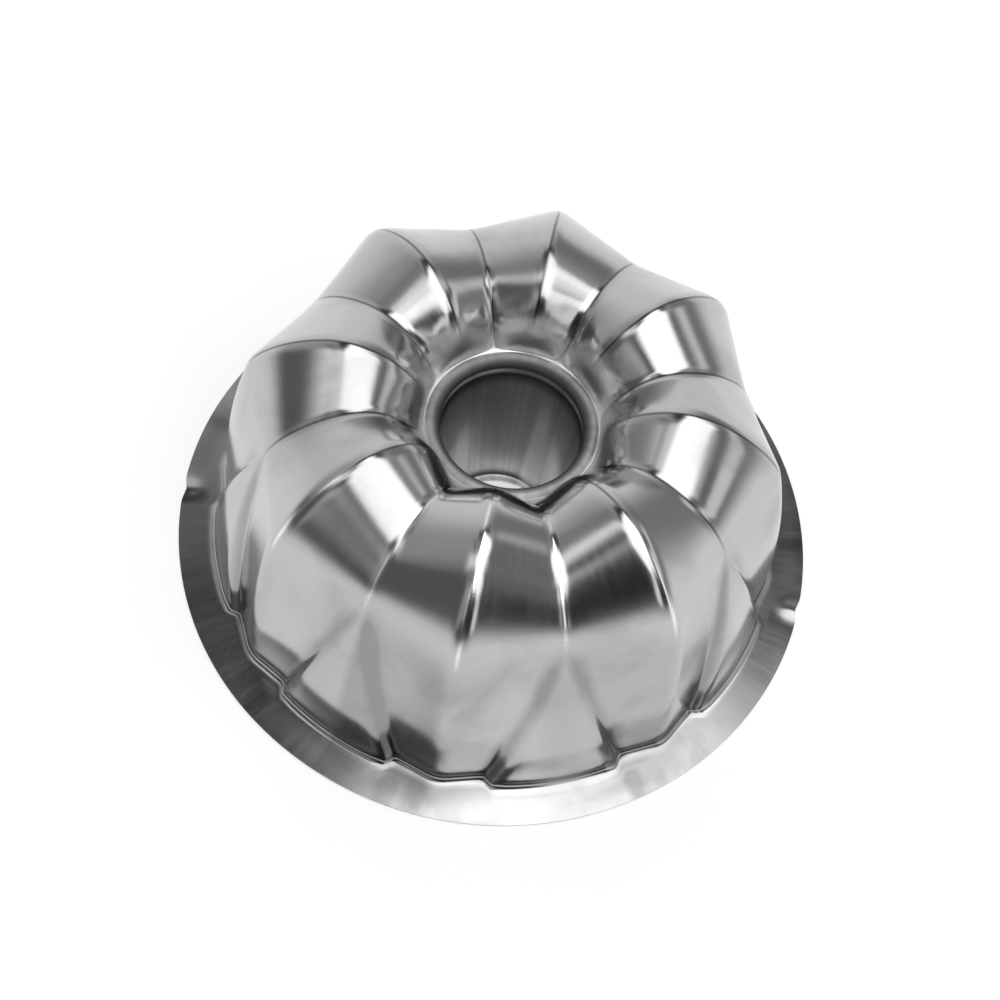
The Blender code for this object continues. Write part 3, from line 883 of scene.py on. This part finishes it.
class CAKEPAN_OT_stage(bpy.types.Operator):
    """Adds the camera, the pale floor, the light tent and the white world"""
    bl_idname = "cakepan.stage"
    bl_label = "Studio"
    bl_options = {"REGISTER", "UNDO"}

    def execute(self, context):
        studio = context.scene.cakepan_studio
        self.add_camera(context, studio)
        self.add_floor(context, studio)
        self.add_tent(context, studio)
        self.set_world(context)
        context.scene.view_settings.view_transform = "Standard"
        return {"FINISHED"}

    def add_camera(self, context, studio):
        select_nothing()
        bpy.ops.object.camera_add(location=studio.camera_place, rotation=studio.camera_turn)
        camera = context.object
        camera.name = "photo_camera"
        camera.data.lens = studio.camera_lens
        camera.data.sensor_width = 36.0
        camera.data.clip_start = 0.01
        camera.data.clip_end = 50.0
        context.scene.camera = camera

    def add_floor(self, context, studio):
        select_nothing()
        bpy.ops.mesh.primitive_circle_add(vertices=96, radius=studio.floor_radius,
                                          fill_type="NGON", location=(0.0, 0.0, -FLOOR_GAP))
        floor = context.object
        floor.name = "floor"
        floor.data.materials.append(floor_material(studio))

    def add_tent(self, context, studio):
        select_nothing()
        bpy.ops.mesh.primitive_uv_sphere_add(segments=96, ring_count=48, radius=studio.tent_radius)
        tent = context.object
        tent.name = "light_tent"
        bpy.ops.object.mode_set(mode="EDIT")
        bpy.ops.mesh.select_all(action="SELECT")
        bpy.ops.mesh.flip_normals()
        end_edit()
        tent.data.materials.append(tent_cloth(studio))
        tent.visible_camera = False
        tent.visible_shadow = False

    def set_world(self, context):
        world = bpy.data.worlds.new("studio_world")
        world.use_nodes = True
        world.node_tree.nodes.clear()
        nodes = Nodes(world.node_tree)
        background = nodes.add("ShaderNodeBackground", Color=(1.0, 1.0, 1.0, 1.0),
                               Strength=seen_directly(nodes))
        out = nodes.add("ShaderNodeOutputWorld")
        nodes.tree.links.new(background.outputs["Background"], out.inputs["Surface"])
        context.scene.world = world


class CAKEPAN_OT_shell(bpy.types.Operator):
    """Models the fluted shell and gives it its aluminium"""
    bl_idname = "cakepan.shell"
    bl_label = "Fluted shell"
    bl_options = {"REGISTER", "UNDO"}

    def execute(self, context):
        sizes = context.scene.cakepan_shell
        finishes = context.scene.cakepan_finishes
        shell = self.add_half_flute(context, sizes)
        self.complete_round(shell)
        self.give_thickness(shell, sizes)
        self.give_wear(shell, sizes)
        self.mark_gusset_sides(shell, sizes)
        bake_place(shell)
        shell.data.materials.append(shell_aluminium(finishes))
        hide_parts("fluted_shell")
        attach(shell, BODY)
        return {"FINISHED"}

    def add_half_flute(self, context, sizes):
        """A grid of faces, with each of its points moved to its place on half a flute."""
        rows = half_flute_rows(sizes)
        select_nothing()
        bpy.ops.mesh.primitive_grid_add(x_subdivisions=COLUMNS, y_subdivisions=len(rows) - 1,
                                        size=1.0)
        shell = context.object
        shell.name = "pressed_shell"
        for point in shell.data.vertices:
            column = round((point.co.x + 0.5) * COLUMNS)
            row = round((point.co.y + 0.5) * (len(rows) - 1))
            at, radius, height = rows[row][column]
            point.co = (radius * math.cos(at), radius * math.sin(at), height)
        return shell

    def complete_round(self, shell):
        """Mirrors the half flute over its ridge and copies the flute round the pan's axis."""
        edit_all(shell)
        bpy.ops.mesh.duplicate()
        bpy.ops.transform.resize(value=(1.0, -1.0, 1.0), center_override=(0.0, 0.0, 0.0))
        bpy.ops.mesh.flip_normals()
        bpy.ops.mesh.select_all(action="SELECT")
        bpy.ops.mesh.spin(steps=FLUTES - 1, dupli=True, angle=2 * math.pi * (FLUTES - 1) / FLUTES,
                          center=(0.0, 0.0, 0.0), axis=(0.0, 0.0, 1.0))
        bpy.ops.mesh.select_all(action="SELECT")
        bpy.ops.mesh.remove_doubles(threshold=MERGE_DISTANCE)
        bpy.ops.mesh.normals_make_consistent(inside=False)
        end_edit()

    def give_thickness(self, shell, sizes):
        work_on(shell)
        sheet = shell.modifiers.new("Sheet", "SOLIDIFY")
        sheet.thickness = sizes.sheet
        sheet.offset = -1.0
        sheet.use_even_offset = True
        bpy.ops.object.modifier_apply(modifier="Sheet")
        bpy.ops.object.shade_smooth_by_angle(angle=SMOOTH_ANGLE)

    def mark_gusset_sides(self, shell, sizes):
        """Stores how close each point of the wall is to a gusset's side, for the painted shade beside it.
        """
        side = shell.data.attributes.new(SIDE_MARK, "FLOAT", "POINT")
        foot = (sizes.ridge_foot_radius, sizes.groove_foot_radius)
        shoulder = (sizes.ridge_shoulder_radius, sizes.groove_shoulder_radius)
        for point, mark in zip(shell.data.vertices, side.data):
            x, y, z = point.co
            if not sizes.sheet < z < sizes.shoulder_height:
                continue
            ridge, groove = [(wall_radius(sizes, top, low, sizes.wall_swell, z), z)
                             for top, low in zip(shoulder, foot)]
            seam = seam_angle(sizes, ridge, groove)
            at = math.atan2(y, x) % (2 * HALF_FLUTE)
            off = abs(min(at, 2 * HALF_FLUTE - at) - seam) * ridge[0]
            mark.value = smooth_step(GUSSET_SHADE_WIDTH, 0.0, off) * smooth_step(*GUSSET_SHADE_HEIGHTS, z)

    def give_wear(self, shell, sizes):
        """Wrinkles the mouth, and warps and dents the flange."""
        for point in shell.data.vertices:
            x, y, z = point.co
            radius = math.hypot(x, y)
            at = math.degrees(math.atan2(y, x))
            if z > sizes.collar_height - WRINKLE_REACH and radius > WRINKLE_START[0]:
                crumple = noise.noise(point.co * COARSE_WRINKLES)
                crumple += 0.5 * noise.noise(point.co * FINE_WRINKLES)
                mouth = smooth_step(*WRINKLE_START, radius) * smooth_step(*WRINKLE_END, radius)
                point.co.z += sizes.wrinkle * crumple * mouth
            if radius > UNEVEN_RADII[0] and z < FLANGE_TOP:
                edge = smooth_step(*UNEVEN_RADII, radius)
                spot = Vector((x, y, 0.0)) * WARP_FINENESS + Vector((0.0, 0.0, 0.4))
                warp = max(noise.noise(spot), 0.0)
                dent = sum(math.exp(-((at - place) / DENT_WIDTH) ** 2) for place in DENTS) * edge
                point.co.z += sizes.flange_warp * warp * edge + 0.5 * sizes.dent_depth * dent
                point.co.xy *= 1 - sizes.dent_depth * dent / radius


class CAKEPAN_OT_tube(bpy.types.Operator):
    """Models the centre tube and gives it its aluminium"""
    bl_idname = "cakepan.tube"
    bl_label = "Centre tube"
    bl_options = {"REGISTER", "UNDO"}

    def execute(self, context):
        sizes = context.scene.cakepan_tube
        finishes = context.scene.cakepan_finishes
        tube = self.add_section(context, sizes)
        self.turn_section(tube, sizes)
        bake_place(tube)
        tube.data.materials.append(tube_aluminium(finishes))
        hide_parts("centre_tube")
        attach(tube, BODY)
        return {"FINISHED"}

    def middle_line(self, context, sizes):
        """Middle of the tube's wall from the lip's thin edge over the top and down to the hole."""
        shell = context.scene.cakepan_shell
        centre = flare_height(shell, sizes)

        def wall(height):
            share = (height - sizes.foot_height) / (centre - sizes.foot_height)
            return mix(sizes.foot_radius, sizes.flare_radius - sizes.flare_bend, share)

        path = []
        for step in range(LIP_STEPS):
            share = 1 - step / LIP_STEPS
            half = mix(sizes.sheet, sizes.lip_edge, share) / 2
            under = mix(shell.seam_clearance, sizes.lip_clearance, share)
            path.append((sizes.flare_radius + sizes.lip_reach * share,
                         shell.collar_height + under + half))
        for step in range(FLARE_STEPS + 1):
            turn = math.pi / 2 * step / FLARE_STEPS
            path.append((sizes.flare_radius - sizes.flare_bend * math.sin(turn),
                         centre + sizes.flare_bend * math.cos(turn)))
        collar_skin = sizes.flare_bend - 3 * sizes.sheet / 2 - shell.seam_clearance
        bead_top = centre + collar_skin * math.cos(shell.collar_curl) - shell.seam_clearance
        for step in range(BEAD_STEPS + 1):
            height = bead_top - sizes.bead_length * step / BEAD_STEPS
            swell = sizes.bead_rise * math.sin(math.pi * step / BEAD_STEPS) ** 2
            path.append((wall(height) + swell, height))
        bend_height = sizes.foot_height + sizes.foot_bend
        lowest = path[-1][1]
        for step in range(1, WALL_STEPS):
            height = mix(lowest, bend_height, step / WALL_STEPS)
            path.append((wall(height), height))
        for step in range(BEND_STEPS + 1):
            turn = math.pi / 2 * step / BEND_STEPS
            path.append((sizes.foot_radius - sizes.foot_bend + sizes.foot_bend * math.cos(turn),
                         bend_height - sizes.foot_bend * math.sin(turn)))
        path.append((sizes.hole_radius, sizes.foot_height))
        return path

    def add_section(self, context, sizes):
        """The section through the tube's wall, as a ring of edges in the XZ plane."""
        path = self.middle_line(context, sizes)
        skins = []
        for side in (sizes.sheet / 2, -sizes.sheet / 2):
            skin = []
            for here, (radius, height) in enumerate(path):
                before = path[max(here - 1, 0)]
                after = path[min(here + 1, len(path) - 1)]
                run, rise = after[0] - before[0], after[1] - before[1]
                slant = math.hypot(run, rise)
                thin = max(1 - here / LIP_STEPS, 0.0)
                half = mix(side, math.copysign(sizes.lip_edge / 2, side), thin)
                skin.append((radius - rise / slant * half, height + run / slant * half))
            skins.append(skin)
        section = skins[0] + skins[1][::-1]
        select_nothing()
        bpy.ops.mesh.primitive_circle_add(vertices=len(section), radius=0.02, fill_type="NOTHING")
        tube = context.object
        tube.name = "drawn_tube"
        for point, (radius, height) in zip(tube.data.vertices, section):
            point.co = (radius, 0.0, height)
        return tube

    def turn_section(self, tube, sizes):
        edit_all(tube)
        bpy.ops.mesh.spin(steps=sizes.turn_steps, angle=2 * math.pi, center=(0.0, 0.0, 0.0),
                          axis=(0.0, 0.0, 1.0), use_auto_merge=True)
        bpy.ops.mesh.select_all(action="SELECT")
        bpy.ops.mesh.remove_doubles(threshold=MERGE_DISTANCE)
        bpy.ops.mesh.normals_make_consistent(inside=False)
        end_edit()
        for point in tube.data.vertices:
            radius = math.hypot(point.co.x, point.co.y)
            lip = smooth_step(sizes.flare_radius - LIP_BLEND, sizes.flare_radius, radius)
            top = smooth_step(sizes.flare_radius + sizes.lip_reach, sizes.flare_radius, radius)
            uneven = 1 + noise.noise(point.co * LIP_FINENESS)
            point.co.z -= sizes.lip_wrinkle * uneven * lip * top
        work_on(tube)
        bpy.ops.object.shade_smooth_by_angle(angle=SMOOTH_ANGLE)


class CAKEPAN_PT_panel(bpy.types.Panel):
    """Lists the pan's pieces and their sizes"""
    bl_idname = "CAKEPAN_PT_panel"
    bl_label = "Fluted cake pan"
    bl_space_type = "VIEW_3D"
    bl_region_type = "UI"
    bl_category = "Cake Pan"

    def draw(self, context):
        layout = self.layout
        for operator in (CAKEPAN_OT_stage, CAKEPAN_OT_shell, CAKEPAN_OT_tube):
            layout.operator(operator.bl_idname)
        for group in ("cakepan_shell", "cakepan_tube", "cakepan_finishes", "cakepan_studio"):
            settings = getattr(context.scene, group)
            box = layout.box()
            for name in settings.__annotations__:
                box.prop(settings, name)


CLASSES = (ShellSizes, TubeSizes, Finishes, Studio, CAKEPAN_OT_stage, CAKEPAN_OT_shell,
           CAKEPAN_OT_tube, CAKEPAN_PT_panel)


def register():
    for item in CLASSES:
        bpy.utils.register_class(item)
    bpy.types.Scene.cakepan_shell = PointerProperty(type=ShellSizes)
    bpy.types.Scene.cakepan_tube = PointerProperty(type=TubeSizes)
    bpy.types.Scene.cakepan_finishes = PointerProperty(type=Finishes)
    bpy.types.Scene.cakepan_studio = PointerProperty(type=Studio)


def unregister():
    for name in ("cakepan_shell", "cakepan_tube", "cakepan_finishes", "cakepan_studio"):
        delattr(bpy.types.Scene, name)
    for item in reversed(CLASSES):
        bpy.utils.unregister_class(item)


def main():
    register()
    bpy.ops.cakepan.stage()
    bpy.ops.cakepan.shell()
    bpy.ops.cakepan.tube()


if __name__ == "__main__":
    main()
